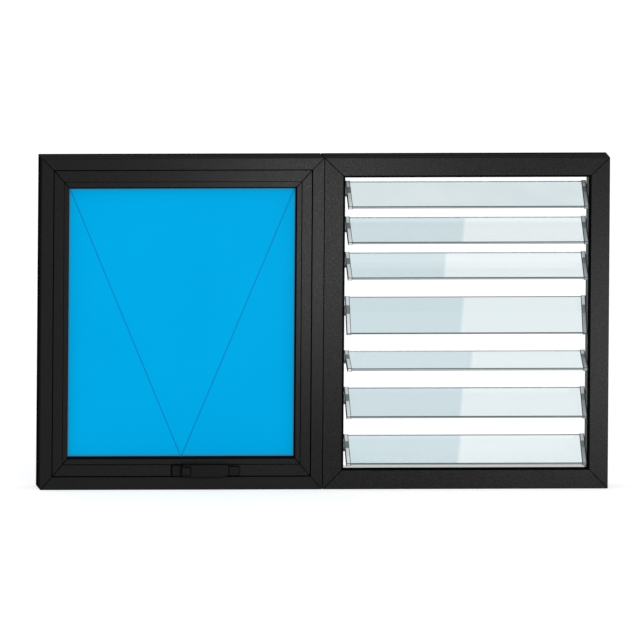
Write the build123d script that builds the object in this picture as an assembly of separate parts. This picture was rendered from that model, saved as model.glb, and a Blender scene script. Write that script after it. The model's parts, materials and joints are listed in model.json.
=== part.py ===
from build123d import *
import math
import os

# Ventilator window: a top-hung sash unit and a glass louvre unit, side by side.
# X runs along the window, Y from the front to the back and Z up, in millimetres.
# The origin is the middle of the sill face that the window stands on.

# Overall sizes
height = 830.0
awning_width = 705.2
louvre_width = 713.2
joint_gap = 1.6
frame_depth = 115.0
wall = 2.0

# Outer frames
awning_face = 28.0
awning_sill_face = 31.8
louvre_face = 46.0
louvre_head_face = 44.0
louvre_sill_face = 47.0
lip_share = 0.13
lip_thickness = 4.0
lip_setback = 8.0
stop_share = 0.5
stop_thickness = 4.0
seal_thickness = 3.0
key_groove_width = 4.0
key_groove_depth = 1.0
key_groove_from_front = 46.0
key_groove_from_back = 22.0
key_clearance = 0.2
key_end_gap = 2.0
cleat_thickness = 8.0
cleat_leg = 42.0
fixing_hole_diameter = 6.5
fixing_from_end = 150.0
awning_fixing_inset = 77.0
louvre_fixing_inset = 28.5

# Top-hung sash
sash_gap = 2.4
sash_setback = 3.0
sash_depth = 50.0
stile_face = 24.1
rail_face = 27.7
rebate_share = 0.52
glass_leg_thickness = 3.0
seal_inset = 1.5
seal_width = 8.0

# Sash glazing
glass_thickness = 6.0
glass_edge_gap = 3.0
gasket_thickness = 3.0
stile_gasket_show = 2.0
rail_gasket_show = 4.0
bead_setback = 3.0
bead_depth = 16.0
bead_wall = 1.8
bead_step = 1.0
bead_foot = 5.0
setting_block_length = 60.0
setting_block_from_side = 150.0
seat_clearance = 0.2

# Louvre blades, from the top one down
blade_depth = 102.0
blade_thickness = 6.0
blade_arris = 1.0
blade_tilts = (32.0, 31.8, 32.0, 57.4, 19.5, 39.3, 38.5)
pivot_shares = (1.0, 0.8599, 0.7206, 0.5325, 0.3442, 0.185, 0.0)
pivot_from_back_edge = 0.36
pivot_line_from_front = 55.0
head_gap = 23.8
sill_gap = 12.4

# Blade clips, hubs and galleries
clip_width = 11.2
clip_wall = 1.4
clip_edge = 0.8
left_standoff = 12.8
right_standoff = 6.6
gallery_width = 40.0
gallery_base = 1.5
gallery_flange = 1.5
gallery_lip = 6.5
gallery_end_gap = 0.5
hub_diameter = 26.0
pin_diameter = 6.0
running_clearance = 0.3

# Handle on the bottom rail
handle_base_width = 45.5
handle_base_height = 28.0
handle_base_depth = 9.0
handle_base_corner = 3.0
handle_base_edge = 1.5
spindle_offset = 10.5
spindle_from_base_end = 34.5
lever_length = 118.0
lever_height = 33.0
lever_thickness = 13.0
lever_behind_spindle = 11.0
lever_corner = 4.0
lever_edge = 3.0
lever_taper_length = 20.0
lever_taper_height = 4.5
tip_length = 29.0
tip_height = 25.0
tip_thickness = 8.0
tip_overlap = 4.0
tip_corner = 8.0
tip_edge = 2.0
neck_length = 22.0
neck_height = 21.0
neck_depth = 5.0
neck_corner = 2.0
neck_edge = 1.0
spindle_diameter = 10.0

front = -frame_depth / 2
total_width = awning_width + joint_gap + louvre_width
joint_x = awning_width + joint_gap / 2 - total_width / 2
far = 4 * frame_depth


def ring(x0, z0, x1, z1):
    return {"x0": x0, "z0": z0, "x1": x1, "z1": z1}


def inset(outer, side, rail):
    return framed(outer, side, rail, rail)


def framed(outer, side, head, sill):
    # The opening left inside a frame with these face widths
    return ring(outer["x0"] + side, outer["z0"] + sill, outer["x1"] - side, outer["z1"] - head)


def corner(box, name):
    return (box["x0"] if "left" in name else box["x1"], box["z0"] if "bottom" in name else box["z1"])


# Each side of a mitred frame: its corners, the way its profile grows inwards, and its start
sides = {
    "left": ("bottom_left", "top_left", (1, 0, 0)),
    "right": ("top_right", "bottom_right", (-1, 0, 0)),
    "head": ("top_left", "top_right", (0, 0, -1)),
    "sill": ("bottom_right", "bottom_left", (0, 0, 1)),
}


def mitred(profile, side, outer, inner, reach):
    # A profile drawn as (distance inwards, distance back), run along one side and cut at both mitres
    first, last, inwards = sides[side]
    start = corner(outer, first)
    end = corner(outer, last)
    length = math.dist(start, end)
    forward = Vector(inwards).cross(Vector(0, 1, 0))
    along = Plane(origin=(start[0], front, start[1]), x_dir=inwards, z_dir=forward)
    run = extrude(along * profile, amount=length)
    cut = [start, end]
    for name in (last, first):
        a = corner(outer, name)
        b = corner(inner, name)
        face = abs(b[0] - a[0]) if side in ("left", "right") else abs(b[1] - a[1])
        share = reach / face
        cut.append((a[0] + (b[0] - a[0]) * share, a[1] + (b[1] - a[1]) * share))
    upright = Plane(origin=(0, far / 2, 0), x_dir=(1, 0, 0), z_dir=(0, -1, 0))
    wedge = extrude(upright * make_face(Polyline(*cut, close=True)), amount=far)
    return run & wedge


def outline(*points):
    return make_face(Polyline(*points, close=True))


def block(u0, v0, u1, v1):
    return outline((u0, v0), (u1, v0), (u1, v1), (u0, v1))


def key_groove(v):
    return block(0, v - key_groove_width / 2, key_groove_depth, v + key_groove_width / 2)


def corner_cleats(outer, chamber_front, chamber_back):
    # Four L-shaped cleats in the tubes of a mitred frame, against its outer walls
    room = inset(outer, wall, wall)
    depth = chamber_back - chamber_front - 2 * seat_clearance
    y_front = front + chamber_front + seat_clearance
    cleats = []
    for name in ("bottom_left", "bottom_right", "top_left", "top_right"):
        x, z = corner(room, name)
        right = 1 if "left" in name else -1
        up = 1 if "bottom" in name else -1
        shape = outline(
            (x, z),
            (x + right * cleat_leg, z),
            (x + right * cleat_leg, z + up * cleat_thickness),
            (x + right * cleat_thickness, z + up * cleat_thickness),
            (x + right * cleat_thickness, z + up * cleat_leg),
            (x, z + up * cleat_leg),
        )
        upright = Plane(origin=(0, y_front + depth, 0), x_dir=(1, 0, 0), z_dir=(0, -1, 0))
        cleats.append(extrude(upright * shape, amount=depth))
    return Compound(children=cleats)


def fixing_holes(x, inset_from_front):
    # Two screw holes that run through an outer jamb into the wall beside it
    drill = Rot(0, 90, 0) * Cylinder(fixing_hole_diameter / 2, far)
    levels = (fixing_from_end, height - fixing_from_end)
    return [Pos(x, front + inset_from_front, z) * drill for z in levels]


def write(part, name):
    part.label = name
    export_step(part, os.path.join("parts", name + ".step"))


os.makedirs("parts", exist_ok=True)

groove_places = (key_groove_from_front, frame_depth - key_groove_from_back)

# Outer frame of the top-hung unit: a two-chamber tube with a stop flange behind the sash
awning_outer = ring(-total_width / 2, 0, joint_x - joint_gap / 2, height)
awning_inner = framed(awning_outer, awning_face, awning_face, awning_sill_face)
stop_front = sash_setback + sash_depth + seal_thickness
stop_back = stop_front + stop_thickness


def awning_profile(face_width):
    body = block(0, 0, face_width, frame_depth)
    flange = block(face_width, stop_front, face_width * (1 + stop_share), stop_back)
    front_chamber = block(wall, wall, face_width - wall, stop_front)
    back_chamber = block(wall, stop_front + wall, face_width - wall, frame_depth - wall)
    face = body + flange - front_chamber - back_chamber
    for place in groove_places:
        face -= key_groove(place)
    return face


frame_names = {"left": "left_jamb", "right": "right_jamb", "head": "head", "sill": "sill"}
for side, name in frame_names.items():
    face_width = awning_sill_face if side == "sill" else awning_face
    reach = face_width * (1 + stop_share)
    member = mitred(awning_profile(face_width), side, awning_outer, awning_inner, reach)
    if side == "left":
        member = member - fixing_holes(awning_outer["x0"], awning_fixing_inset)
    write(member, "awning_frame_" + name)
write(corner_cleats(awning_outer, wall, stop_front), "awning_frame_cleats")

# Outer frame of the louvre unit: a wider tube with a lip round the front of the opening
louvre_outer = ring(joint_x + joint_gap / 2, 0, total_width / 2, height)
louvre_inner = framed(louvre_outer, louvre_face, louvre_head_face, louvre_sill_face)
louvre_faces = {"left": louvre_face, "right": louvre_face, "head": louvre_head_face, "sill": louvre_sill_face}
lip_back = lip_setback + lip_thickness


def louvre_profile(face_width):
    body = block(0, 0, face_width, frame_depth)
    lip = block(face_width, lip_setback, face_width * (1 + lip_share), lip_back)
    front_chamber = block(wall, wall, face_width - wall, (frame_depth - wall) / 2)
    back_chamber = block(wall, (frame_depth + wall) / 2, face_width - wall, frame_depth - wall)
    face = body + lip - front_chamber - back_chamber
    for place in groove_places:
        face -= key_groove(place)
    return face


for side, name in frame_names.items():
    face_width = louvre_faces[side]
    reach = face_width * (1 + lip_share)
    member = mitred(louvre_profile(face_width), side, louvre_outer, louvre_inner, reach)
    if side == "right":
        member = member - fixing_holes(louvre_outer["x1"], louvre_fixing_inset)
    write(member, "louvre_frame_" + name)
write(corner_cleats(louvre_outer, wall, (frame_depth - wall) / 2), "louvre_frame_cleats")

# Two keys hold the units together and apart, tight between the facing grooves of the middle jambs
key_width = joint_gap + 2 * key_groove_depth
key_depth = key_groove_width - 2 * key_clearance
key_length = height - 2 * key_end_gap
keys = [Pos(joint_x, front + v, height / 2) * Box(key_width, key_depth, key_length) for v in groove_places]
write(Compound(children=keys), "coupling_keys")

# Sash: mitred tube with a leg that the glass is pressed against from the front
sash_outer = inset(awning_inner, sash_gap, sash_gap)
sash_inner = inset(sash_outer, stile_face, rail_face)
stile_rebate = rebate_share * stile_face
rail_rebate = rebate_share * rail_face
sash_back = sash_setback + sash_depth
bead_front = sash_setback + bead_setback
bead_back = bead_front + bead_depth
glass_front = bead_back + gasket_thickness
glass_back = glass_front + glass_thickness
leg_front = glass_back + gasket_thickness
leg_back = leg_front + glass_leg_thickness


def sash_profile(face_width):
    body = block(0, sash_setback, face_width, sash_back)
    leg = block(face_width, leg_front, face_width + rebate_share * face_width, leg_back)
    chamber = block(wall, sash_setback + wall, face_width - wall, sash_back - wall)
    return body + leg - chamber


sash_names = {
    "left": "sash_left_stile",
    "right": "sash_right_stile",
    "head": "sash_top_rail",
    "sill": "sash_bottom_rail",
}
for side, name in sash_names.items():
    face_width = stile_face if side in ("left", "right") else rail_face
    reach = face_width + rebate_share * face_width
    write(mitred(sash_profile(face_width), side, sash_outer, sash_inner, reach), name)
write(corner_cleats(sash_outer, sash_setback + wall, sash_back - wall), "sash_corner_cleats")

# Glazing beads: channels open to the back, mitred, each with a foot that seats on the sash
bead_outer = inset(sash_inner, seat_clearance, seat_clearance)
bead_inner = inset(sash_inner, stile_rebate, rail_rebate)


def bead_profile(bead_face):
    body = block(bead_step, bead_front, bead_face, bead_back)
    foot = block(0, bead_back - bead_foot, bead_step, bead_back)
    hollow = block(bead_step + bead_wall, bead_front + bead_wall, bead_face - bead_wall, bead_back)
    return body + foot - hollow


bead_names = {
    "left": "left_glazing_bead",
    "right": "right_glazing_bead",
    "head": "top_glazing_bead",
    "sill": "bottom_glazing_bead",
}
for side, name in bead_names.items():
    bead_face = (stile_rebate if side in ("left", "right") else rail_rebate) - seat_clearance
    write(mitred(bead_profile(bead_face), side, bead_outer, bead_inner, bead_face), name)


def upright_panel(box, y_front, y_back):
    middle = Pos((box["x0"] + box["x1"]) / 2, (y_front + y_back) / 2, (box["z0"] + box["z1"]) / 2)
    return middle * Box(box["x1"] - box["x0"], y_back - y_front, box["z1"] - box["z0"])


def upright_ring(outer, inner, y_front, y_back):
    return upright_panel(outer, y_front, y_back) - upright_panel(inner, y_front, y_back)


# Glass and its gaskets, and the seal between the sash and the stop flange
glass_edge = inset(sash_inner, glass_edge_gap, glass_edge_gap)
sight_line = inset(sash_inner, stile_rebate + stile_gasket_show, rail_rebate + rail_gasket_show)
gasket_edge = inset(sash_inner, stile_rebate / 2, rail_rebate / 2)
write(upright_panel(glass_edge, front + glass_front, front + glass_back), "sash_glass")
blocks = []
for inwards, side_x in ((1, glass_edge["x0"]), (-1, glass_edge["x1"])):
    start = side_x + inwards * (setting_block_from_side - setting_block_length / 2)
    end = side_x + inwards * (setting_block_from_side + setting_block_length / 2)
    block_box = ring(min(start, end), sash_inner["z0"], max(start, end), glass_edge["z0"])
    blocks.append(upright_panel(block_box, front + glass_front, front + glass_back))
write(Compound(children=blocks), "glass_setting_blocks")
write(upright_ring(gasket_edge, sight_line, front + bead_back, front + glass_front), "front_glazing_gasket")
write(upright_ring(gasket_edge, sight_line, front + glass_back, front + leg_front), "back_glazing_gasket")
seal_edge = inset(sash_outer, seal_inset, seal_inset)
seal_inner = inset(seal_edge, seal_width, seal_width)
write(upright_ring(seal_edge, seal_inner, front + sash_back, front + stop_front), "sash_weather_seal")

# Louvre opening, between the faces that the galleries stand on
opening = louvre_inner
pivot_line = front + pivot_line_from_front
blade_left = opening["x0"] + left_standoff + clip_wall + seat_clearance
blade_right = opening["x1"] - right_standoff - clip_wall - seat_clearance
back_part = pivot_from_back_edge * blade_depth
front_part = blade_depth - back_part


def blade_rise(tilt):
    # Height of a blade's highest edge over its pivot
    a = math.radians(tilt)
    return back_part * math.sin(a) + blade_thickness / 2 * math.cos(a)


def blade_drop(tilt):
    # Depth of a blade's lowest edge under its pivot
    a = math.radians(tilt)
    return front_part * math.sin(a) + blade_thickness / 2 * math.cos(a)


highest_pivot = opening["z1"] - head_gap - blade_rise(blade_tilts[0])
lowest_pivot = opening["z0"] + sill_gap + blade_drop(blade_tilts[-1])
pivots = [lowest_pivot + share * (highest_pivot - lowest_pivot) for share in pivot_shares]
middle_of_blade = (back_part - front_part) / 2


def at_pivot(x, pivot, tilt):
    return Pos(x, pivot_line, pivot) * Rot(tilt, 0, 0)


def blade():
    across = Plane(origin=(0, 0, 0), x_dir=(0, 1, 0), z_dir=(1, 0, 0))
    plain = Rectangle(blade_depth, blade_thickness)
    ground = chamfer(plain.vertices(), blade_arris)
    return extrude(across * Pos(middle_of_blade, 0) * ground, amount=blade_right - blade_left)


for number, (pivot, tilt) in enumerate(zip(pivots, blade_tilts), start=1):
    write(at_pivot(blade_left, pivot, tilt) * blade(), "louvre_blade_%d" % number)


def clip(towards):
    # A shoe over the end of a blade, its outer face at x = 0 and its mouth towards +x or -x
    slot_depth = blade_depth + 2 * seat_clearance
    slot_height = blade_thickness + 2 * seat_clearance
    body = Box(clip_width, slot_depth + 2 * clip_wall, slot_height + 2 * clip_wall)
    body = chamfer(body.edges().filter_by(Axis.X), clip_edge)
    slot = Box(clip_width, slot_depth, slot_height)
    shoe = body - Pos(towards * clip_wall, 0, 0) * slot
    return Pos(towards * clip_width / 2, middle_of_blade, 0) * shoe


def hub(towards, standoff):
    # A disc between the clip and the gallery, with a pin that turns in the gallery's hole
    disc_length = standoff - gallery_base - running_clearance
    pin_length = standoff - running_clearance
    turned = Rot(0, -90 * towards, 0)
    disc = turned * extrude(Circle(hub_diameter / 2), amount=disc_length)
    pin = turned * extrude(Circle(pin_diameter / 2), amount=pin_length)
    return disc + pin


def gallery(towards, standoff):
    # A channel on the jamb's inner face, its back at x = 0, with a hole for each pivot pin
    flange_height = gallery_base + min(standoff - gallery_base - running_clearance, gallery_lip)
    length = opening["z1"] - opening["z0"] - 2 * gallery_end_gap
    section = outline(
        (0, -gallery_width / 2),
        (flange_height, -gallery_width / 2),
        (flange_height, -gallery_width / 2 + gallery_flange),
        (gallery_base, -gallery_width / 2 + gallery_flange),
        (gallery_base, gallery_width / 2 - gallery_flange),
        (flange_height, gallery_width / 2 - gallery_flange),
        (flange_height, gallery_width / 2),
        (0, gallery_width / 2),
    )
    channel = extrude(section, amount=length)
    for pivot in pivots:
        level = pivot - opening["z0"] - gallery_end_gap
        hole = Rot(0, 90, 0) * Cylinder(pin_diameter / 2 + running_clearance, gallery_width)
        channel -= Pos(0, 0, level) * hole
    if towards < 0:
        channel = mirror(channel, about=Plane.YZ)
    return channel


ends = {
    "left": (1, opening["x0"], left_standoff),
    "right": (-1, opening["x1"], right_standoff),
}
for name, (towards, jamb_face, standoff) in ends.items():
    clip_face = jamb_face + towards * standoff
    clips = [at_pivot(clip_face, p, t) * clip(towards) for p, t in zip(pivots, blade_tilts)]
    hubs = [at_pivot(clip_face, p, t) * hub(towards, standoff) for p, t in zip(pivots, blade_tilts)]
    channel = Pos(jamb_face, pivot_line, opening["z0"] + gallery_end_gap) * gallery(towards, standoff)
    write(Compound(children=clips), name + "_blade_clips")
    write(Compound(children=hubs), name + "_pivot_hubs")
    write(channel, name + "_louvre_gallery")

# Handle: a base on the bottom rail, a neck on the spindle and a lever lying along the rail
sash_centre = (sash_outer["x0"] + sash_outer["x1"]) / 2
rail_middle = sash_outer["z0"] + rail_face / 2
rail_front = front + sash_setback
spindle_x = sash_centre + spindle_offset
towards_front = Plane(origin=(spindle_x, rail_front, rail_middle), x_dir=(1, 0, 0), z_dir=(0, -1, 0))


def on_rail(x, length, tall, rounding, thickness, edge):
    # A plate over the rail with rounded corners, its front edge chamfered
    face = Pos(x, 0) * RectangleRounded(length, tall, rounding)
    plate = extrude(face, amount=thickness)
    return chamfer(plate.faces().sort_by(Axis.Z)[-1].edges(), edge)


def handle_base():
    x = handle_base_width / 2 - spindle_from_base_end
    depth = handle_base_depth
    plate = on_rail(x, handle_base_width, handle_base_height, handle_base_corner, depth, handle_base_edge)
    hole = extrude(Circle(spindle_diameter / 2 + running_clearance), amount=depth)
    return towards_front * (plate - hole)


def grip():
    # The lever's long part: its lower edge rises towards the tip
    x0 = -lever_behind_spindle
    x1 = lever_length - lever_behind_spindle
    low = -lever_height / 2
    face = outline(
        (x0, low),
        (x1 - lever_taper_length, low),
        (x1, low + lever_taper_height),
        (x1, -low),
        (x0, -low),
    )
    face = fillet(face.vertices(), lever_corner)
    body = extrude(face, amount=lever_thickness)
    return fillet(body.faces().sort_by(Axis.Z)[-1].edges(), lever_edge)


def handle_lever():
    lift = handle_base_depth + running_clearance
    tip_start = lever_length - lever_behind_spindle
    tip_x = tip_start + (tip_length - tip_overlap) / 2
    tip = on_rail(tip_x, tip_length + tip_overlap, tip_height, tip_corner, tip_thickness, tip_edge)
    neck_x = neck_length / 2 - lever_behind_spindle
    neck = on_rail(neck_x, neck_length, neck_height, neck_corner, lever_thickness + neck_depth, neck_edge)
    spindle = extrude(Circle(spindle_diameter / 2), amount=lift)
    return towards_front * (Pos(0, 0, lift) * (grip() + tip + neck) + spindle)


write(handle_base(), "handle_base")
write(handle_lever(), "handle_lever")
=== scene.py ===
import json
import math
import bmesh
import bpy
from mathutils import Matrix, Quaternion, Vector

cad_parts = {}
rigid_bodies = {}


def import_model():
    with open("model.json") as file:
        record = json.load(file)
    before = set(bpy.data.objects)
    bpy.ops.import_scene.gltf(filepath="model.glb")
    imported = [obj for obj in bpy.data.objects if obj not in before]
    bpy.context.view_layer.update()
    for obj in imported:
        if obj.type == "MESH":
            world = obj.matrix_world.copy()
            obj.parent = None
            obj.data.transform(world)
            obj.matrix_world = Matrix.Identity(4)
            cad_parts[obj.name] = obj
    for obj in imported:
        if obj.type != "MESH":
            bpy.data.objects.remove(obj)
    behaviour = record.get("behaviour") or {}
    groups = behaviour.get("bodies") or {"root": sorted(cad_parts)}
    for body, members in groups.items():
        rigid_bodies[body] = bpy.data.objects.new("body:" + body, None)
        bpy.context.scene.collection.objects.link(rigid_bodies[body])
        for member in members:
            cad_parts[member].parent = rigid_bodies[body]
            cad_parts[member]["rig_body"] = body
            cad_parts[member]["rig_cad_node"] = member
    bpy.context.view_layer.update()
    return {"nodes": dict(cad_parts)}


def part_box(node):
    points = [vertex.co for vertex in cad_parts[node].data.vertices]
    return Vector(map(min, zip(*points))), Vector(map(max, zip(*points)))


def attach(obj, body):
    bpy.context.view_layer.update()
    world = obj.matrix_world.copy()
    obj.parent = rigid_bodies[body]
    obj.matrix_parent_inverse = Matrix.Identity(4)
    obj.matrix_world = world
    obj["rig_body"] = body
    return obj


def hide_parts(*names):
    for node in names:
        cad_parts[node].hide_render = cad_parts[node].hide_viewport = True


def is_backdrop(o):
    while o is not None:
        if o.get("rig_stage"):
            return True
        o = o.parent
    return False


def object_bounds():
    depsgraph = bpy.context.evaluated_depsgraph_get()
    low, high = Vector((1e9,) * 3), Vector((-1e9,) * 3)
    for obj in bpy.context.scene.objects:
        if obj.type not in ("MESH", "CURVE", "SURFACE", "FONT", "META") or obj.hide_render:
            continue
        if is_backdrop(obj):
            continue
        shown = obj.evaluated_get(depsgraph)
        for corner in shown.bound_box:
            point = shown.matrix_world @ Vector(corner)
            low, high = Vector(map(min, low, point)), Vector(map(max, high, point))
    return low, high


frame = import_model()
print("frame loaded:", len(frame["nodes"]), "nodes")

xAxis, yAxis, zAxis = range(3)
noiseRange = (0.3, 0.7)  # most values of a noise lie in it
mostly, partly = 0.9, 0.5  # how far a normal points along an axis when its face looks that way


def linear(*steps):
    # An sRGB colour in steps of 255 as the linear one that a shader takes
    def part(share):
        return share / 12.92 if share < 0.04045 else ((share + 0.055) / 1.055) ** 2.4

    return tuple(part(step / 255) for step in steps) + (1.0,)


def newMaterial(name):
    material = bpy.data.materials.new(name)
    material.use_nodes = True
    tree = material.node_tree
    return material, tree.nodes, tree.links, tree.nodes["Principled BSDF"]


def objectPlace(nodes, links, stretch=(1, 1, 1)):
    place = nodes.new("ShaderNodeTexCoord")
    mapping = nodes.new("ShaderNodeMapping")
    mapping.inputs["Scale"].default_value = stretch
    links.new(place.outputs["Object"], mapping.inputs["Vector"])
    return mapping.outputs["Vector"]


def splitVector(nodes, links, vector):
    split = nodes.new("ShaderNodeSeparateXYZ")
    links.new(vector, split.inputs["Vector"])
    return split.outputs


def grain(nodes, links, vector, scale, detail=3.0, roughness=0.5):
    noise = nodes.new("ShaderNodeTexNoise")
    noise.inputs["Scale"].default_value = scale
    noise.inputs["Detail"].default_value = detail
    noise.inputs["Roughness"].default_value = roughness
    links.new(vector, noise.inputs["Vector"])
    return noise.outputs["Fac"]


def ramp(nodes, links, value, stops):
    # stops: (place, colour) pairs
    band = nodes.new("ShaderNodeValToRGB")
    while len(band.color_ramp.elements) < len(stops):
        band.color_ramp.elements.new(0.5)
    for element, (place, colour) in zip(band.color_ramp.elements, stops):
        element.position = place
        element.color = colour
    links.new(value, band.inputs["Fac"])
    return band.outputs["Color"]


def spread(nodes, links, value, start, end, low=0.0, high=1.0):
    # Takes the value's range from start to end to the one from low to high
    change = nodes.new("ShaderNodeMapRange")
    limits = {"From Min": start, "From Max": end, "To Min": low, "To Max": high}
    for socket, limit in limits.items():
        change.inputs[socket].default_value = limit
    links.new(value, change.inputs["Value"])
    return change.outputs["Result"]


def give(links, value, socket):
    # value: the output of another node, or a constant
    if isinstance(value, bpy.types.NodeSocket):
        links.new(value, socket)
    else:
        socket.default_value = value


def arithmetic(nodes, links, operation, *values):
    step = nodes.new("ShaderNodeMath")
    step.operation = operation
    for value, socket in zip(values, step.inputs):
        give(links, value, socket)
    return step.outputs["Value"]


def mixColours(nodes, links, share, first, second, blend="MIX"):
    mix = nodes.new("ShaderNodeMix")
    mix.data_type = "RGBA"
    mix.blend_type = blend
    factor, colourA, colourB, result = mix.inputs[0], mix.inputs[6], mix.inputs[7], mix.outputs[2]
    for value, socket in ((share, factor), (first, colourA), (second, colourB)):
        give(links, value, socket)
    return result


def twoTones(nodes, links, noise, dark, light):
    return ramp(nodes, links, noise, list(zip(noiseRange, (dark, light))))


def unevenRoughness(nodes, links, shader, noise, settings):
    least = settings["rough"] - settings["roughSpread"]
    most = settings["rough"] + settings["roughSpread"]
    links.new(spread(nodes, links, noise, *noiseRange, least, most), shader.inputs["Roughness"])


def unevenSurface(nodes, links, shader, height, settings):
    bump = nodes.new("ShaderNodeBump")
    bump.inputs["Strength"].default_value = settings["bump"]
    bump.inputs["Distance"].default_value = settings["bumpDepth"]
    links.new(height, bump.inputs["Height"])
    links.new(bump.outputs["Normal"], shader.inputs["Normal"])


def powderCoat(name, settings):
    # Black polyester powder coat: fine orange peel over a soft mottle
    material, nodes, links, shader = newMaterial(name)
    place = objectPlace(nodes, links)
    mottle = grain(nodes, links, place, settings["mottleScale"], detail=4.0, roughness=0.6)
    peel = grain(nodes, links, place, settings["peelScale"], detail=2.0)
    colour = twoTones(nodes, links, mottle, settings["dark"], settings["light"])
    links.new(colour, shader.inputs["Base Color"])
    unevenRoughness(nodes, links, shader, mottle, settings)
    shader.inputs["Specular IOR Level"].default_value = settings["specular"]
    both = arithmetic(nodes, links, "MULTIPLY_ADD", mottle, settings["mottleShare"], peel)
    unevenSurface(nodes, links, shader, both, settings)
    return material


smoothCoatSettings = {
    "dark": linear(10, 10, 10), "light": linear(17, 17, 17),
    "mottleScale": 230.0, "peelScale": 900.0, "mottleShare": 1.5,
    "rough": 0.32, "roughSpread": 0.08, "specular": 0.135, "bump": 0.25, "bumpDepth": 0.0004,
}
texturedCoatSettings = {
    "dark": linear(5, 5, 5), "light": linear(20, 20, 20),
    "mottleScale": 230.0, "peelScale": 700.0, "mottleShare": 2.0,
    "rough": 0.32, "roughSpread": 0.12, "specular": 0.135, "bump": 0.4, "bumpDepth": 0.0005,
}
handleCoatSettings = {
    "dark": linear(5, 5, 5), "light": linear(9, 9, 9),
    "mottleScale": 60.0, "peelScale": 1100.0, "mottleShare": 0.6,
    "rough": 0.35, "roughSpread": 0.04, "specular": 0.12, "bump": 0.1, "bumpDepth": 0.0003,
}
smoothCoat = powderCoat("smoothBlackCoat", smoothCoatSettings)
texturedCoat = powderCoat("texturedBlackCoat", texturedCoatSettings)
handleCoat = powderCoat("handleBlackCoat", handleCoatSettings)


def shadedWallFaceCoat(name, stops, settings):
    # Faces that lie against the wall: dull, with painted shade from the back edge to the front
    material, nodes, links, shader = newMaterial(name)
    place = objectPlace(nodes, links)
    mottle = grain(nodes, links, place, settings["mottleScale"], detail=4.0, roughness=0.6)
    level = splitVector(nodes, links, place)["Y"]
    forward = spread(nodes, links, level, settings["backAt"], settings["frontAt"])
    shadeAndMottle = arithmetic(nodes, links, "MULTIPLY_ADD", mottle, settings["mottleShare"], forward)
    links.new(ramp(nodes, links, shadeAndMottle, stops), shader.inputs["Base Color"])
    shader.inputs["Roughness"].default_value = settings["rough"]
    shader.inputs["Specular IOR Level"].default_value = settings["specular"]
    unevenSurface(nodes, links, shader, mottle, settings)
    return material


wallFaceSettings = {
    "backAt": 0.0575, "frontAt": -0.0575, "mottleScale": 120.0, "mottleShare": 0.06,
    "rough": 0.9, "specular": 0.0, "bump": 0.2, "bumpDepth": 0.0004,
}
# Painted shade on the side faces: darkest at the back edge, lighter towards the front
wallSideShadeStops = [
    (0.03, linear(5, 5, 5)), (0.33, linear(11, 11, 11)),
    (0.73, linear(30, 31, 31)), (1.0, linear(38, 39, 39)),
]
# Painted light and shade on top faces: dark at the back edge and round the groove, pale between
paleBand, grooveShadeBand = linear(50, 51, 51), linear(32, 33, 33)
wallTopShadeStops = [
    (0.22, linear(7, 7, 7)), (0.26, paleBand), (0.42, paleBand), (0.46, grooveShadeBand),
    (0.62, grooveShadeBand), (0.66, paleBand), (0.82, paleBand), (0.86, linear(34, 35, 35)),
]
wallSideShadeCoat = shadedWallFaceCoat("wallSideShadedBlackCoat", wallSideShadeStops, wallFaceSettings)
wallTopShadeCoat = shadedWallFaceCoat("wallTopShadedBlackCoat", wallTopShadeStops, wallFaceSettings)

# The opening between the beads, and what shows of the pane inside its gasket
gasketSettings = {"sideInSight": 0.002, "endInSight": 0.004}
beadLow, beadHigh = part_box("left_glazing_bead")[1].x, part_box("right_glazing_bead")[0].x
sillSight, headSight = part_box("bottom_glazing_bead")[1].z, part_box("top_glazing_bead")[0].z
sideInSight, endInSight = gasketSettings["sideInSight"], gasketSettings["endInSight"]
paneLeft, paneRight = beadLow + sideInSight, beadHigh - sideInSight
paneBottom, paneTop = sillSight + endInSight, headSight - endInSight


def blueFilmPane(settings):
    # Opaque blue film, a little cloudy, with painted shade along its edges: a dark line, a paler
    # band
    # The band is wider at the foot, where it stands for a painted reflection
    material, nodes, links, shader = newMaterial("blueFilm")
    place = objectPlace(nodes, links)
    cloud = grain(nodes, links, place, settings["cloudScale"], detail=2.0)
    film = twoTones(nodes, links, cloud, settings["deep"], settings["bright"])
    across = splitVector(nodes, links, place)
    reach, footReach = settings["edgeReach"], settings["footReach"]
    edges = (
        ("X", paneLeft, paneLeft + reach), ("X", paneRight, paneRight - reach),
        ("Z", paneBottom, paneBottom + footReach), ("Z", paneTop, paneTop - reach),
    )
    ways = [spread(nodes, links, across[axis], edge, inner) for axis, edge, inner in edges]
    inside = ways[0]
    for way in ways[1:]:
        inside = arithmetic(nodes, links, "MINIMUM", inside, way)
    stops = [
        (0.0, settings["edgeLine"]), (settings["lineEnd"], settings["edgeLine"]),
        (settings["bandStart"], settings["paintedEdgeBand"]), (settings["bandFade"], settings["bright"]),
    ]
    paintedBorder = ramp(nodes, links, inside, stops)
    toFilm = spread(nodes, links, inside, settings["bandEnd"], 1.0)
    links.new(mixColours(nodes, links, toFilm, paintedBorder, film), shader.inputs["Base Color"])
    dust = grain(nodes, links, place, settings["dustScale"])
    unevenRoughness(nodes, links, shader, dust, settings)
    shader.inputs["Specular IOR Level"].default_value = settings["specular"]
    return material


bluePaneSettings = {
    "deep": linear(0, 163, 222), "bright": linear(1, 166, 225), "cloudScale": 4.0,
    "dustScale": 420.0, "rough": 0.36, "roughSpread": 0.06, "specular": 0.004,
    "edgeLine": linear(0, 28, 42), "paintedEdgeBand": linear(48, 132, 168),
    "edgeReach": 0.01, "footReach": 0.015,
    "lineEnd": 0.07, "bandStart": 0.13, "bandFade": 0.7, "bandEnd": 0.6,
}
bluePane = blueFilmPane(bluePaneSettings)


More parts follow.
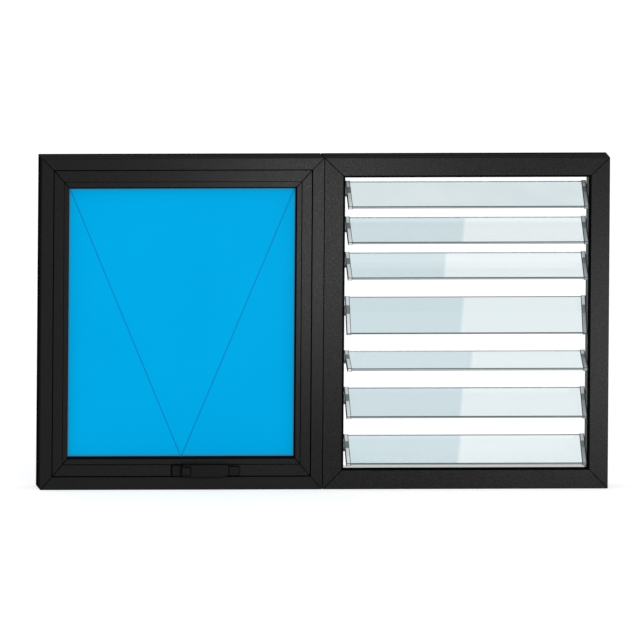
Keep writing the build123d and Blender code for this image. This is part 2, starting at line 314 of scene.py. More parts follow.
def clearLouvreGlass(settings):
    # Clear float glass with a painted reflection, darker left of a wavy edge and paler right of it.
    # The U of its map is the way past that edge, and V how deep a painted shade on the blade is
    material, nodes, links, shader = newMaterial("louvreGlass")
    shader.inputs["Transmission Weight"].default_value = 1.0
    shader.inputs["IOR"].default_value = settings["ior"]
    shader.inputs["Roughness"].default_value = 0.0
    blade = nodes.new("ShaderNodeUVMap")
    blade.uv_map = "tintMap"
    paintedLight = splitVector(nodes, links, blade.outputs["UV"])
    ripple = grain(nodes, links, objectPlace(nodes, links), settings["rippleScale"], detail=1.0)
    wavy = arithmetic(nodes, links, "MULTIPLY_ADD", ripple, settings["ripple"], paintedLight["X"])
    middle, half = settings["ripple"] / 2, settings["edgeWidth"] / 2
    past = spread(nodes, links, wavy, middle - half, middle + half)
    colour = ramp(nodes, links, past, [(0.0, settings["left"]), (1.0, settings["right"])])
    shaded = mixColours(nodes, links, paintedLight["Y"], colour, settings["shaded"], "MULTIPLY")
    links.new(shaded, shader.inputs["Base Color"])
    return material


# The last colour is a painted shade that darkens some blades
louvreGlassSettings = {
    "ior": 1.45, "shaded": (0.91, 0.932, 0.94, 1.0),
    "left": linear(206, 221, 225), "right": linear(230, 238, 240),
    "rippleScale": 9.0, "ripple": 0.006, "edgeWidth": 0.008,
}
louvreGlass = clearLouvreGlass(louvreGlassSettings)


def grained(name, settings):
    # One noise for the tone, the roughness and the bump, if there is one
    material, nodes, links, shader = newMaterial(name)
    place = objectPlace(nodes, links, settings["stretch"])
    detail, roughness = settings["grainDetail"], settings["grainRoughness"]
    noise = grain(nodes, links, place, settings["grainScale"], detail, roughness)
    colour = twoTones(nodes, links, noise, settings["dark"], settings["light"])
    links.new(colour, shader.inputs["Base Color"])
    unevenRoughness(nodes, links, shader, noise, settings)
    shader.inputs["Metallic"].default_value = settings["metallic"]
    shader.inputs["Specular IOR Level"].default_value = settings["specular"]
    if settings["bump"]:
        unevenSurface(nodes, links, shader, noise, settings)
    return material


# What materials of one kind share: rubber and moulded plastic, ground glass, drawn aluminium
moulded = {
    "stretch": (1, 1, 1), "grainDetail": 3.0, "grainRoughness": 0.5, "metallic": 0.0,
    "roughSpread": 0.05, "bump": 0.2, "bumpDepth": 0.0003,
}
groundGlass = {
    "stretch": (1, 1, 1), "grainDetail": 4.0, "grainRoughness": 0.6, "metallic": 0.0,
    "rough": 0.45, "roughSpread": 0.1, "specular": 0.5, "bump": 0.15, "bumpDepth": 0.0002,
}
drawnMetal = {
    "grainScale": 500.0, "grainDetail": 4.0, "grainRoughness": 0.6,
    "roughSpread": 0.08, "specular": 0.5, "bump": 0.12, "bumpDepth": 0.0002,
}

# The sill's top face behind the lip: smooth and glossy, so a low view sees the backdrop in it
sillTraySettings = {
    **moulded, "dark": linear(10, 10, 10), "light": linear(14, 14, 14), "grainScale": 40.0,
    "rough": 0.075, "roughSpread": 0.015, "specular": 1.0, "bump": 0.0,
}
groundEdgeSettings = {
    **groundGlass, "dark": linear(166, 180, 184), "light": linear(182, 195, 199),
    "grainScale": 900.0,
}
edgeLineSettings = {
    **groundGlass, "dark": linear(24, 32, 35), "light": linear(40, 49, 52),
    "grainScale": 500.0,
}
galleryMetalSettings = {
    **drawnMetal, "dark": linear(94, 98, 100), "light": linear(110, 114, 116),
    "stretch": (1.0, 1.0, 0.05), "metallic": 0.5, "rough": 0.45,
}
clipMetalSettings = {
    **drawnMetal, "dark": linear(212, 220, 221), "light": linear(228, 235, 236),
    "stretch": (1.0, 0.2, 0.2), "metallic": 0.0, "rough": 0.4,
}
rubberSettings = {
    **moulded, "dark": linear(6, 6, 7), "light": linear(12, 12, 13),
    "grainScale": 800.0, "rough": 0.8, "specular": 0.02,
}
hubSettings = {
    **moulded, "dark": linear(96, 102, 105), "light": linear(116, 121, 124),
    "grainScale": 600.0, "rough": 0.55, "specular": 0.3,
}
# Black for painted shade on sides, outlines, the louvre lip and handle, and for the tip seam
shadeAndSeamSettings = {
    **moulded, "dark": linear(3, 3, 4), "light": linear(7, 7, 8),
    "grainScale": 500.0, "rough": 0.9, "specular": 0.03,
}
sealantSettings = {
    **moulded, "dark": linear(2, 2, 2), "light": linear(5, 5, 5),
    "grainScale": 600.0, "rough": 0.9, "specular": 0.02,
}
sillTrayCoat = grained("sillTrayCoat", sillTraySettings)
groundEdge = grained("groundGlassEdge", groundEdgeSettings)
edgeLine = grained("glassEdgeLine", edgeLineSettings)
galleryMetal = grained("galleryMetal", galleryMetalSettings)
clipMetal = grained("clipMetal", clipMetalSettings)
gasketRubber = grained("gasketRubber", rubberSettings)
shadeAndSeamBlack = grained("shadeAndSeamBlack", shadeAndSeamSettings)
jointSealant = grained("jointSealant", sealantSettings)
hubPlastic = grained("hubPlastic", hubSettings)

# A node takes the finish of the first of these parts that its name holds
finishes = {
    "cleats": galleryMetal, "setting_blocks": gasketRubber,
    "awning_frame_": smoothCoat, "louvre_frame_": texturedCoat,
    "sash_glass": bluePane, "sash_weather_seal": gasketRubber, "sash_": smoothCoat,
    "glazing_bead": smoothCoat, "coupling_keys": gasketRubber, "handle_": handleCoat,
    "glazing_gasket": gasketRubber, "louvre_blade_": louvreGlass,
    "blade_clips": clipMetal, "pivot_hubs": hubPlastic, "louvre_gallery": galleryMetal,
}
for name, node in frame["nodes"].items():
    finish = next(finishes[part] for part in finishes if part in name)
    for slotPlace in node.material_slots:
        slotPlace.material = finish
print("finishes given to the frame's nodes")


def onlySelect(piece):
    bpy.ops.object.select_all(action="DESELECT")
    bpy.context.view_layer.objects.active = piece
    piece.select_set(True)


def openMesh():
    # The active piece in edit mode, with all of it selected
    bpy.ops.object.mode_set(mode="EDIT")
    bpy.ops.mesh.select_all(action="SELECT")


def copyNode(node, name):
    # A merged copy of a CAD node, as a mesh of its own
    onlySelect(node)
    bpy.ops.object.duplicate(linked=False)
    piece = bpy.context.object
    piece.name = name
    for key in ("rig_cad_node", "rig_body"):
        del piece[key]
    piece.parent = None
    openMesh()
    bpy.ops.mesh.remove_doubles(threshold=0.000002)
    bpy.ops.mesh.dissolve_limited(angle_limit=math.radians(0.5))
    bpy.ops.object.mode_set(mode="OBJECT")
    return piece


def smoothFlats(piece):
    # Rounded edges shade smoothly and the flat faces between them stay flat
    onlySelect(piece)
    bpy.ops.object.shade_smooth_by_angle(angle=math.radians(35))
    flats = piece.modifiers.new("flats", "WEIGHTED_NORMAL")
    flats.keep_sharp = True
    bpy.ops.object.modifier_apply(modifier=flats.name)


def roundEdges(piece, width, segments):
    onlySelect(piece)
    edge = piece.modifiers.new("edgeRound", "BEVEL")
    edge.width = width
    edge.segments = segments
    edge.limit_method = "ANGLE"
    edge.angle_limit = math.radians(30)
    bpy.ops.object.modifier_apply(modifier=edge.name)
    smoothFlats(piece)


def startBlock(name, middle, size):
    # A block in edit mode, with all of it selected
    bpy.ops.object.select_all(action="DESELECT")
    bpy.ops.mesh.primitive_cube_add(size=1.0, location=middle)
    piece = bpy.context.object
    piece.name = name
    openMesh()
    bpy.ops.transform.resize(value=size, center_override=middle)
    return piece


def pick(piece, kind, test):
    # Selects the vertices, edges or faces of the piece in edit mode that pass the test
    bpy.ops.mesh.select_mode(type={"verts": "VERT", "edges": "EDGE", "faces": "FACE"}[kind])
    bpy.ops.mesh.select_all(action="DESELECT")
    shape = bmesh.from_edit_mesh(piece.data)
    shape.normal_update()
    for part in getattr(shape, kind):
        if test(part):
            part.select_set(True)
    shape.select_flush_mode()
    bmesh.update_edit_mesh(piece.data)


def bevelAlong(piece, axis, offset, segments):
    # Bevels the edges of a block that run along an axis
    shortest = 0.0001
    pick(piece, "edges", lambda e: abs(e.verts[0].co[axis] - e.verts[1].co[axis]) > shortest)
    bpy.ops.mesh.bevel(offset=offset, segments=segments, affect="EDGES")


def settle(piece):
    # Back to object mode, with the place in the mesh
    bpy.ops.object.mode_set(mode="OBJECT")
    onlySelect(piece)
    bpy.ops.object.transform_apply(location=True, rotation=True, scale=True)


def together(pieces, name):
    onlySelect(pieces[0])
    for piece in pieces:
        piece.select_set(True)
    bpy.ops.object.join()
    pieces[0].name = name
    return pieces[0]


def paintFaces(piece, newFinishes, choose):
    # New finishes join those of the piece, and each face takes the one that choose gives
    for newFinish in newFinishes:
        piece.data.materials.append(newFinish)
    order = list(piece.data.materials)
    for face in piece.data.polygons:
        face.material_index = order.index(choose(face))


def paintedShadeSides(piece, facing):
    # Painted shade: black on the faces that look less squarely than this to the front or the back
    coat = piece.data.materials[0]
    paintFaces(piece, [shadeAndSeamBlack], lambda f: shadeAndSeamBlack if abs(f.normal.y) < facing else coat)


# Frame members: each a little short of its mitres, so that every corner shows its thin dark joint
# outline: reach of black painted shade in from the box's edge; lipFrom, lipTo: the same on the lip
memberSettings = {
    "jointHalf": 0.0014, "edgeRound": 0.0005, "beadEdgeRound": 0.0003, "segments": 2,
    "lipSetBack": 0.008, "sideOn": 0.1, "wallSkin": 0.0002, "jointReach": 0.002,
    "frontOn": 0.97, "faceSkin": 0.0005, "outline": 0.0012,
    "trayFrom": 0.005, "lipFrom": -0.001, "lipTo": 0.006,
}
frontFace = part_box("louvre_frame_head")[0].y
lipFront = frontFace + memberSettings["lipSetBack"]
jointPlace = (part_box("awning_frame_right_jamb")[1].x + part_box("louvre_frame_left_jamb")[0].x) / 2
memberEnds = ("_head", "_sill", "_jamb", "_rail", "_stile", "_bead")
memberNames = [name for name in frame["nodes"] if name.endswith(memberEnds)]


def around(part):
    # The box round all the members whose names hold this part
    boxes = [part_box(name) for name in memberNames if part in name]
    low = Vector([min(box[0][i] for box in boxes) for i in range(3)])
    high = Vector([max(box[1][i] for box in boxes) for i in range(3)])
    return low, high


def inward(place, low, high):
    return min(place.x - low.x, high.x - place.x, place.z - low.z, high.z - place.z)


def frameFinish(face, nodeName, coat, low, high, settings):
    # Wall faces, the tray behind the sill's lip, black sides, outlines and lip, or else the coat
    # The wall faces, black sides, outlines and lip are painted shade
    turn, level = abs(face.normal.y), face.center.y
    depth = inward(face.center, low, high)
    atJoint = abs(face.center.x - jointPlace) < settings["jointReach"]
    if turn < settings["sideOn"] and depth < settings["wallSkin"] and not atJoint:
        return wallTopShadeCoat if abs(face.normal.z) > partly else wallSideShadeCoat
    onSill = nodeName == "louvre_frame_sill" and face.normal.z > mostly
    if onSill and level > lipFront + settings["trayFrom"]:
        return sillTrayCoat
    fromFace = min(level - low.y, high.y - level)
    inFace = turn > settings["frontOn"] and fromFace < settings["faceSkin"]
    outline = depth < settings["outline"] and not inFace
    lip = "louvre" in nodeName and settings["lipFrom"] < level - lipFront < settings["lipTo"]
    return shadeAndSeamBlack if turn < partly or outline or lip else coat


def frameMember(nodeName, settings):
    piece = copyNode(frame["nodes"][nodeName], nodeName + "_finished")
    low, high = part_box(nodeName)
    lengths = high - low
    along = xAxis if lengths.x > lengths.z else zAxis
    share = [1.0, 1.0, 1.0]
    share[along] = 1 - 2 * settings["jointHalf"] / lengths[along]
    openMesh()
    bpy.ops.transform.resize(value=share, center_override=(low + high) / 2)
    bpy.ops.object.mode_set(mode="OBJECT")
    width = settings["beadEdgeRound" if "bead" in nodeName else "edgeRound"]
    roundEdges(piece, width, settings["segments"])
    if "_frame_" in nodeName:
        low, high = around("louvre_frame_" if "louvre" in nodeName else "awning_frame_")
        coat = piece.data.materials[0]
        paintFaces(
            piece, [wallSideShadeCoat, shadeAndSeamBlack, wallTopShadeCoat, sillTrayCoat],
            lambda f: frameFinish(f, nodeName, coat, low, high, settings),
        )
    else:
        paintedShadeSides(piece, partly)
    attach(piece, "root")
    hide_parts(nodeName)


for name in sorted(memberNames):
    frameMember(name, memberSettings)
print("frame members finished:", len(memberNames))


# Sealant in the mitres, set back a little from the coated faces
# of: the members it joins. face: how far it reaches in at the jambs, the head and the sill
# start: where it begins at the jambs. back: how far behind the front face it begins and ends
sealantPlaces = {
    "awning_frame_sealant": {
        "of": "awning_frame_", "face": (0.028, 0.028, 0.0318), "back": (0.0008, 0.1142),
    },
    "louvre_frame_sealant": {
        "of": "louvre_frame_", "face": (0.046, 0.044, 0.047), "back": (0.0008, 0.1142),
    },
    "louvre_lip_sealant": {
        "of": "louvre_frame_", "start": 0.046, "face": (0.05198, 0.04972, 0.05311),
        "back": (0.0085, 0.0115),
    },
    "awning_stop_sealant": {
        "of": "awning_frame_", "start": 0.028, "face": (0.042, 0.042, 0.0477),
        "back": (0.0565, 0.0595),
    },
    "sash_sealant": {
        "of": "sash_", "face": (0.0241, 0.0277, 0.0277), "back": (0.0038, 0.0522),
    },
    "sash_leg_sealant": {
        "of": "sash_", "start": 0.0241, "face": (0.03663, 0.0421, 0.0421), "back": (0.0345, 0.0365),
    },
    "bead_sealant": {
        "of": "bead", "face": (0.0123, 0.0142, 0.0142), "back": (0.0066, 0.0214),
    },
}
# outerStart: a strip with no start of its own begins outside the corner
# heldBack: every strip is then cut this far inside the box round its members
stripSettings = {"thick": 0.0027, "insetShare": 0.2, "outerStart": -0.001, "heldBack": 0.0001}


def mitreStrip(atRight, atTop, low, high, settings):
    start = settings.get("start", stripSettings["outerStart"])
    across, headFace, sillFace = settings["face"]
    yFront, yBack = (frontFace + depth for depth in settings["back"])
    up = headFace if atTop else sillFace
    rise = up - start * up / across
    x = high.x - start if atRight else low.x + start
    z = high.z - start * up / across if atTop else low.z + start * up / across
    upward = -1 if atTop else 1
    middle = Vector((x, (yFront + yBack) / 2, z + upward * rise / 2))
    strip = startBlock("strip", middle, (stripSettings["thick"], yBack - yFront, rise))
    pick(strip, "verts", lambda v: (v.co.z + middle.z - z) * upward > rise / 2)
    bpy.ops.transform.translate(value=(-(across - start) if atRight else across - start, 0, 0))
    pick(strip, "faces", lambda f: abs(f.normal.y) > mostly)
    bpy.ops.mesh.inset(thickness=stripSettings["thick"] * stripSettings["insetShare"])
    for corner, outward in ((low, -1), (high, 1)):
        for axis in (Vector((1, 0, 0)), Vector((0, 0, 1))):
            side = corner - outward * stripSettings["heldBack"] * axis
            bpy.ops.mesh.select_all(action="SELECT")
            bpy.ops.mesh.bisect(
                plane_co=side, plane_no=outward * axis, use_fill=True, clear_outer=True,
            )
    bpy.ops.mesh.select_all(action="SELECT")
    bpy.ops.mesh.normals_make_consistent(inside=False)
    settle(strip)
    return strip


for name, settings in sealantPlaces.items():
    low, high = around(settings["of"])
    corners = [(atRight, atTop) for atRight in (False, True) for atTop in (False, True)]
    strips = [mitreStrip(atRight, atTop, low, high, settings) for atRight, atTop in corners]
    sealant = together(strips, name)
    sealant.data.materials.append(jointSealant)
    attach(sealant, "root")
print("mitre joints sealed")


# Louvre blades: one flat blade with ground edges, copied, tilted and set at each node's place
bladeSettings = {
    "depth": 0.102, "thick": 0.006, "arris": 0.0003, "seam": 0.0012, "rim": 0.0012, "crown": 0.0002,
    "edgeFacing": 0.999,
    "tilts": (32.0, 31.8, 32.0, 57.4, 19.5, 39.3, 38.5),
    # Per blade: the painted reflection's edge and how deep the painted shade is; then the edge's
    # lean
    "paintedLightEnds": (None, 0.348, 0.303, 0.347, 0.371, 0.346, 0.342),
    "paintedLightDepths": (0.0, 0.0, 0.0, 1.0, 1.0, 0.2, 0.1),
    "paintedLightLean": 0.13,
}
bladeNumbers = range(1, len(bladeSettings["tilts"]) + 1)


def flatBlade(settings):
    low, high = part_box("louvre_blade_1")
    size = (high.x - low.x, settings["depth"] - 2 * settings["crown"], settings["thick"])
    blade = startBlock("flatBlade", ((low.x + high.x) / 2, 0, 0), size)
    bevelAlong(blade, xAxis, settings["arris"], 1)
    seamPlace = size[1] / 2 - settings["arris"] - settings["seam"]
    for side in (1, -1):
        bpy.ops.mesh.select_all(action="SELECT")
        bpy.ops.mesh.bisect(plane_co=(0, side * seamPlace, 0), plane_no=(0, 1, 0))
        pick(blade, "faces", lambda f: f.normal.y * side > mostly)
        bpy.ops.mesh.inset(thickness=settings["rim"])
        bpy.ops.transform.translate(value=(0, side * settings["crown"], 0))
    settle(blade)

    def bladeFinish(face):
        if abs(face.normal.y) > settings["edgeFacing"]:
            return groundEdge
        onSeam = abs(face.center.y) > seamPlace and face.center.z > 0
        return edgeLine if onSeam or abs(face.normal.z) <= mostly else louvreGlass

    paintFaces(blade, [louvreGlass, groundEdge, edgeLine], bladeFinish)
    return blade


def copyToBlade(flatPiece, name, number, x=0.0):
    # A copy of a flat piece, tilted and set at the place of this blade
    low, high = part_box("louvre_blade_%d" % number)
    onlySelect(flatPiece)
    bpy.ops.object.duplicate(linked=False)
    piece = bpy.context.object
    piece.name = name
    openMesh()
    tilt = -math.radians(bladeSettings["tilts"][number - 1])
    bpy.ops.transform.rotate(value=tilt, orient_axis="X", center_override=(0, 0, 0))
    bpy.ops.transform.translate(value=(x, (low.y + high.y) / 2, (low.z + high.z) / 2))
    settle(piece)
    return piece


def setBlade(blade, number, settings):
    nodeName = "louvre_blade_%d" % number
    piece = copyToBlade(blade, nodeName + "_glass", number)
    paintedLightEnd, paintedLightDepth = settings["paintedLightEnds"][number - 1], settings["paintedLightDepths"][number - 1]
    # A map of the painted reflection's edge and of how deep the painted shade is on this blade
    tintMap = piece.data.uv_layers.new(name="tintMap")
    for loop in piece.data.loops:
        place = blade.data.vertices[loop.vertex_index].co
        past = 0.0 if paintedLightEnd is None else place.x - paintedLightEnd - settings["paintedLightLean"] * place.y
        tintMap.data[loop.index].uv = (past, paintedLightDepth)
    piece.visible_shadow = False  # clear glass lets the light through to the clips
    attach(piece, "root")
    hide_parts(nodeName)


flat = flatBlade(bladeSettings)
for number in bladeNumbers:
    setBlade(flat, number, bladeSettings)
bpy.data.objects.remove(flat)
print("louvre blades set")


# Blade clips: a pressed shoe with an end plate and a mouth band in painted shade, and a riveted
# saddle
clipSettings = {
    "width": 0.0112, "wall": 0.0014, "slack": 0.0002, "endPlate": 0.002, "lining": 0.0014,
    "cornerShare": 0.9, "cornerFacing": 0.99, "cornersFrom": 0.05, "pivotFromMiddle": 0.01428,
    "saddleLength": 0.024, "saddleThick": 0.0006, "saddleWide": 0.0078,
    "saddleCorner": 0.002, "saddleInset": 0.0004, "saddleCrown": 0.0001,
    "rivetRadius": 0.0026, "rivetTall": 0.0006, "rivetRound": 0.0003, "rivetSides": 20,
}
clipGrowth = 2 * (clipSettings["slack"] + clipSettings["wall"])
clipDeep, clipTall = bladeSettings["depth"] + clipGrowth, bladeSettings["thick"] + clipGrowth
saddleFront = clipSettings["pivotFromMiddle"] - clipSettings["saddleLength"] / 2
# Painted shade grey on the clips' rounded corners, end plates and mouth bands
clipShadeSettings = {
    **moulded, "dark": linear(34, 39, 41), "light": linear(50, 55, 58),
    "grainScale": 600.0, "rough": 0.6, "specular": 0.2,
}
saddleSettings = {
    **moulded, "dark": linear(112, 121, 123), "light": linear(130, 139, 141),
    "grainScale": 600.0, "rough": 0.5, "specular": 0.3,
}
# Lighter painted shade on the right clips in front of the saddle
shadedClipSettings = {
    **moulded, "dark": linear(142, 151, 153), "light": linear(162, 171, 173),
    "grainScale": 600.0, "rough": 0.5, "specular": 0.3,
}
clipShade = grained("clipShadeGrey", clipShadeSettings)
saddleMetal = grained("saddleGrey", saddleSettings)
shadedClip = grained("shadedClipGrey", shadedClipSettings)


def clipBlock(name, middleX, width, settings):
    # A block with the clip's rounded section, in edit mode
    block = startBlock(name, (middleX, 0, 0), (width, clipDeep, clipTall))
    bevelAlong(block, xAxis, settings["wall"] * settings["cornerShare"], 3)
    return block


def shoe(towards, settings):
    width = settings["width"] - settings["endPlate"] - settings["lining"]
    piece = clipBlock("shoe", towards * (settings["endPlate"] + width / 2), width, settings)
    pick(piece, "faces", lambda f: f.normal.x * towards > mostly)
    bpy.ops.mesh.inset(thickness=settings["wall"])
    hollow = (-towards * (width - settings["wall"]), 0, 0)
    bpy.ops.mesh.extrude_region_move(TRANSFORM_OT_translate={"value": hollow})
    bpy.ops.mesh.select_all(action="SELECT")
    bpy.ops.mesh.bisect(plane_co=(0, saddleFront, 0), plane_no=(0, 1, 0))
    settle(piece)

    def shoeFinish(face):
        # Painted shade on the rounded end corners, and on the right clips in front of the saddle
        flatness = max(abs(face.normal.y), abs(face.normal.z))
        atEnds = abs(face.center.y) > settings["cornersFrom"]
        if abs(face.normal.x) < partly and flatness < settings["cornerFacing"] and atEnds:
            return clipShade
        return shadedClip if towards < 0 and face.center.y < saddleFront else clipMetal

    paintFaces(piece, [clipMetal, clipShade, shadedClip], shoeFinish)
    return piece


def endPlate(towards, settings):
    thick = settings["endPlate"]
    piece = clipBlock("endPlate", towards * thick / 2, thick, settings)
    settle(piece)
    piece.data.materials.append(clipShade)
    return piece


def mouthShadeBand(towards, settings):
    # A band round the clip's mouth in the painted shade grey
    middleX = towards * (settings["width"] - settings["lining"] / 2)
    piece = clipBlock("mouthShadeBand", middleX, settings["lining"], settings)
    pick(piece, "faces", lambda f: abs(f.normal.x) > mostly)
    bpy.ops.mesh.inset(thickness=settings["wall"] + settings["slack"] / 2, use_individual=True)
    bpy.ops.mesh.bridge_edge_loops()
    settle(piece)
    piece.data.materials.append(clipShade)
    return piece


def saddle(towards, settings):
    # A plate and a rivet on each face of the shoe
    x = towards * (settings["endPlate"] + settings["saddleWide"] / 2)
    y, thick = settings["pivotFromMiddle"], settings["saddleThick"]
    parts = []
    for side in (1, -1):
        size = (settings["saddleWide"], settings["saddleLength"], thick)
        plate = startBlock("saddle", (x, y, side * (clipTall + thick) / 2), size)
        bevelAlong(plate, zAxis, settings["saddleCorner"], 3)
        pick(plate, "faces", lambda f: f.normal.z * side > mostly)
        bpy.ops.mesh.inset(thickness=settings["saddleInset"])
        bpy.ops.transform.translate(value=(0, 0, side * settings["saddleCrown"]))
        settle(plate)
        rivetPlace = (x, y, side * (clipTall / 2 + thick + settings["rivetTall"] / 2))
        bpy.ops.mesh.primitive_cylinder_add(
            vertices=settings["rivetSides"], radius=settings["rivetRadius"],
            depth=settings["rivetTall"], location=rivetPlace,
        )
        rivet = bpy.context.object
        bpy.ops.object.mode_set(mode="EDIT")
        pick(rivet, "faces", lambda f: f.normal.z * side > mostly)
        bpy.ops.mesh.bevel(offset=settings["rivetRound"], segments=2, affect="EDGES")
        settle(rivet)
        parts += [plate, rivet]
    piece = together(parts, "saddle")
    piece.data.materials.append(saddleMetal)
    return piece


for sideName, towards in (("left", 1), ("right", -1)):
    clipParts = [part(towards, clipSettings) for part in (shoe, endPlate, mouthShadeBand, saddle)]
    flatClip = together(clipParts, sideName + "_flat_clip")
    clipNode = sideName + "_blade_clips"
    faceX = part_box(clipNode)[0 if towards > 0 else 1].x
    for number in bladeNumbers:
        piece = copyToBlade(flatClip, "%s_blade_clip_%d" % (sideName, number), number, faceX)
        smoothFlats(piece)
        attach(piece, "root")
        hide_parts(clipNode)
    bpy.data.objects.remove(flatClip)
print("blade clips fitted")


# Handle: black side faces and a thin black pad under its base as painted shade, a shadow ring
# round its neck and a seam where the lever meets its tip, all a little proud
handleSettings = {
    "facing": 0.92, "padProud": 0.0016, "padThick": 0.0012, "baseCorner": 0.003, "hair": 0.0001,
    "ringProud": 0.0016, "ringThick": 0.0012, "ringSunk": 0.0002, "neckCorner": 0.002,
    "neck": (0.022, 0.021), "leverGap": 0.0003, "leverThick": 0.013, "leverLong": 0.118,
    "tipThick": 0.008, "tipTall": 0.022, "seamWide": 0.0018, "seamProud": 0.0004,
    "seamSunk": 0.0006, "plateRim": 0.0003, "plateCrown": 0.0001,
}


def darkPlate(name, low, high, corner, settings):
    # A flat plate with rounded corners in the plane of the rail
    low, high = Vector(low), Vector(high)
    plate = startBlock(name, (high + low) / 2, high - low)
    bevelAlong(plate, yAxis, corner, 4)
    pick(plate, "faces", lambda f: f.normal.y < -mostly)
    bpy.ops.mesh.inset(thickness=settings["plateRim"])
    bpy.ops.transform.translate(value=(0, -settings["plateCrown"], 0))
    settle(plate)
    smoothFlats(plate)
    plate.data.materials.append(shadeAndSeamBlack)
    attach(plate, "root")


def handlePiece(nodeName, settings):
    # The cast piece with its side faces black as painted shade, so that its outline shows on the
    # rail
    piece = copyNode(frame["nodes"][nodeName], nodeName + "_finished")
    smoothFlats(piece)
    paintedShadeSides(piece, settings["facing"])
    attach(piece, "root")
    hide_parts(nodeName)


def handlePlates(settings):
    baseLow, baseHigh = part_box("handle_base")
    leverLow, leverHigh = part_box("handle_lever")
    level = (leverLow.z + leverHigh.z) / 2
    proud = settings["padProud"]
    darkPlate(
        "handle_base_pad",
        (baseLow.x - proud, baseHigh.y - settings["padThick"], baseLow.z - proud),
        (baseHigh.x + proud, baseHigh.y - settings["hair"], baseHigh.z + proud),
        settings["baseCorner"] + proud, settings,
    )
    proud = settings["ringProud"]
    leverBack = baseLow.y - settings["leverGap"]
    leverFront, tipFront = leverBack - settings["leverThick"], leverBack - settings["tipThick"]
    neckLong, neckTall = settings["neck"]
    reach = neckTall / 2 + proud
    darkPlate(
        "handle_neck_ring",
        (leverLow.x - settings["hair"], leverFront - settings["ringThick"], level - reach),
        (leverLow.x + neckLong + proud, leverFront + settings["ringSunk"], level + reach),
        settings["neckCorner"] + proud, settings,
    )
    proud = settings["seamProud"]
    tipStart, tipTall = leverLow.x + settings["leverLong"], settings["tipTall"]
    darkPlate(
        "handle_tip_seam",
        (tipStart - proud, tipFront - proud, level - tipTall / 2),
        (tipStart + settings["seamWide"], tipFront + settings["seamSunk"], level + tipTall / 2),
        proud, settings,
    )


handlePiece("handle_base", handleSettings)
handlePiece("handle_lever", handleSettings)
handlePlates(handleSettings)
print("handle pad, neck ring and tip seam fitted")


# Opening lines: two thin printed lines on the pane that meet at the handle side
openingLineSettings = {
    "width": 0.0017, "thick": 0.00015, "spareLength": 0.01,
    "sideGap": 0.0035, "endGap": 0.003, "footShift": 0.0015,
}
inkSettings = {
    **moulded, "dark": linear(0, 96, 160), "light": linear(0, 108, 176),
    "grainScale": 700.0, "rough": 0.6, "specular": 0.1,
}
lineInk = grained("lineInk", inkSettings)


def openingLine(name, top, foot, settings):
    # top and foot: X and Z of its ends, where it is cut level
    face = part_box("sash_glass")[0].y
    middle = Vector(((top[0] + foot[0]) / 2, face - settings["thick"] / 2, (top[1] + foot[1]) / 2))
    length = math.dist(top, foot) + settings["spareLength"]
    lean = math.atan2(top[0] - foot[0], top[1] - foot[1])
    line = startBlock(name, middle, (settings["width"], settings["thick"], length))
    bpy.ops.transform.rotate(value=-lean, orient_axis="Y", center_override=middle)
    for level, above in ((top[1], True), (foot[1], False)):
        bpy.ops.mesh.select_all(action="SELECT")
        bpy.ops.mesh.bisect(
            plane_co=(0, 0, level), plane_no=(0, 0, 1), use_fill=True,
            clear_outer=above, clear_inner=not above,
        )
    settle(line)
    line.data.materials.append(lineInk)
    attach(line, "root")


sideGap, endGap = openingLineSettings["sideGap"], openingLineSettings["endGap"]
footPlace = ((beadLow + beadHigh) / 2 + openingLineSettings["footShift"], sillSight + endGap)
for sideName, topX in (("left", beadLow + sideGap), ("right", beadHigh - sideGap)):
    topPlace = (topX, headSight - endGap)
    openingLine(sideName + "_opening_line", topPlace, footPlace, openingLineSettings)
print("opening lines printed on the pane")


# Floor, lamps and camera
roomSettings = {
    "floorSize": 60.0, "floorBelow": 0.0002, "floorColour": (0.62, 0.62, 0.62, 1.0),
    "floorLift": 0.62, "floorRough": 0.9, "speckScale": 3.0, "speckLight": 1.01,
    "ambient": (0.65, 0.65, 0.65, 1.0), "sunStrength": 1.8, "sunAngle": 25.0,
    "sunAzimuth": 4.0, "sunElevation": 9.0, "sunDistance": 5.0,
}
glowLamps = {
    "middleGlow": {
        "place": (0.09, -1.25, 0.525), "aim": (-0.03, 0.0, 0.655),
        "size": (0.42, 0.64), "power": 4.8,
    },
    "rightGlow": {
        "place": (0.92, -1.1, 0.07), "aim": (0.8, 0.0, 0.2),
        "size": (0.9, 0.98), "power": 10.2,
    },
}
cameraSettings = {
    "azimuth": -5.33, "elevation": 6.4, "roll": 0.43,
    "aim": (-0.013, -0.0575, 0.4245), "distance": 6.0, "width": 1.5942,
}
white = (1, 1, 1, 1)


def seenDirectly(nodes, links):
    # 1 for what the camera sees, itself or in metal and through glass
    path = nodes.new("ShaderNodeLightPath").outputs
    mirrored = arithmetic(nodes, links, "MAXIMUM", path["Is Camera Ray"], path["Is Glossy Ray"])
    return arithmetic(nodes, links, "MAXIMUM", mirrored, path["Is Transmission Ray"])


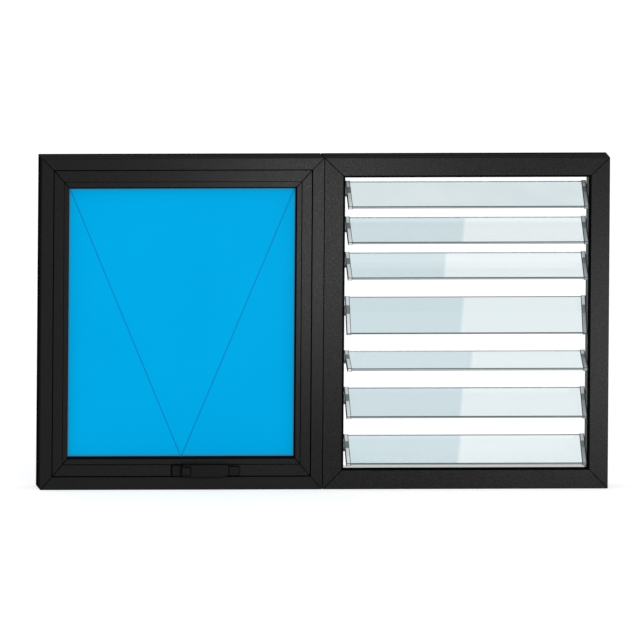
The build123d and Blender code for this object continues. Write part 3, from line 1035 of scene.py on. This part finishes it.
def addFloor(settings):
    bpy.ops.object.select_all(action="DESELECT")
    place = (0, 0, -settings["floorBelow"])
    bpy.ops.mesh.primitive_plane_add(size=settings["floorSize"], location=place)
    floor = bpy.context.object
    floor.name = "floor"
    material, nodes, links, shader = newMaterial("paleFloor")
    speck = grain(nodes, links, objectPlace(nodes, links), settings["speckScale"])
    base = settings["floorColour"]
    light = tuple(min(part * settings["speckLight"], 1.0) for part in base)
    colour = ramp(nodes, links, speck, [(0.0, base), (1.0, light)])
    links.new(colour, shader.inputs["Base Color"])
    shader.inputs["Roughness"].default_value = settings["floorRough"]
    shader.inputs["Specular IOR Level"].default_value = 0.0
    shader.inputs["Emission Color"].default_value = white
    seen = seenDirectly(nodes, links)
    lift = arithmetic(nodes, links, "MULTIPLY", seen, settings["floorLift"])
    links.new(lift, shader.inputs["Emission Strength"])
    floor.data.materials.append(material)
    floor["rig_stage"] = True


def addWorld(settings):
    world = bpy.data.worlds.new("studio")
    bpy.context.scene.world = world
    world.use_nodes = True
    nodes, links = world.node_tree.nodes, world.node_tree.links
    plain = nodes["Background"]
    plain.inputs["Color"].default_value = settings["ambient"]
    seen = nodes.new("ShaderNodeBackground")
    seen.inputs["Color"].default_value = white
    mix = nodes.new("ShaderNodeMixShader")
    links.new(seenDirectly(nodes, links), mix.inputs["Fac"])
    links.new(plain.outputs["Background"], mix.inputs[1])
    links.new(seen.outputs["Background"], mix.inputs[2])
    links.new(mix.outputs["Shader"], nodes["World Output"].inputs["Surface"])


def facing(start, aim):
    return (Vector(aim) - Vector(start)).to_track_quat("-Z", "Y")


def backFrom(azimuth, elevation):
    a, e = math.radians(azimuth), math.radians(elevation)
    return Vector((math.sin(a) * math.cos(e), -math.cos(a) * math.cos(e), math.sin(e)))


def addLamps(settings):
    place = backFrom(settings["sunAzimuth"], settings["sunElevation"]) * settings["sunDistance"]
    bpy.ops.object.light_add(type="SUN", location=place)
    sun = bpy.context.object
    sun.name = "softSun"
    sun.rotation_mode = "QUATERNION"
    sun.rotation_quaternion = facing(place, (0, 0, 0))
    sun.data.energy = settings["sunStrength"]
    sun.data.angle = math.radians(settings["sunAngle"])
    sun.visible_glossy = False  # the coats show no sun, only the two glows
    for name, lamp in glowLamps.items():
        bpy.ops.object.light_add(type="AREA", location=lamp["place"])
        glow = bpy.context.object
        glow.name = name
        glow.rotation_mode = "QUATERNION"
        glow.rotation_quaternion = facing(lamp["place"], lamp["aim"])
        glow.data.shape = "ELLIPSE"
        glow.data.size, glow.data.size_y = lamp["size"]
        glow.data.energy = lamp["power"]
        glow.visible_camera = False
        glow.visible_diffuse = False  # it only lays a soft sheen on the black coat


def addCamera(settings):
    back = backFrom(settings["azimuth"], settings["elevation"])
    place = Vector(settings["aim"]) + back * settings["distance"]
    bpy.ops.object.camera_add(location=place)
    camera = bpy.context.object
    camera.name = "photoCamera"
    camera.rotation_mode = "QUATERNION"
    roll = Quaternion((0, 0, 1), math.radians(settings["roll"]))
    camera.rotation_quaternion = (-back).to_track_quat("-Z", "Y") @ roll
    camera.data.type = "ORTHO"
    camera.data.ortho_scale = settings["width"]
    bpy.context.scene.camera = camera


addFloor(roomSettings)
addWorld(roomSettings)
addLamps(roomSettings)
addCamera(cameraSettings)
bpy.context.scene.view_settings.view_transform = "Standard"
print("floor, lamps and camera placed")

low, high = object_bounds()
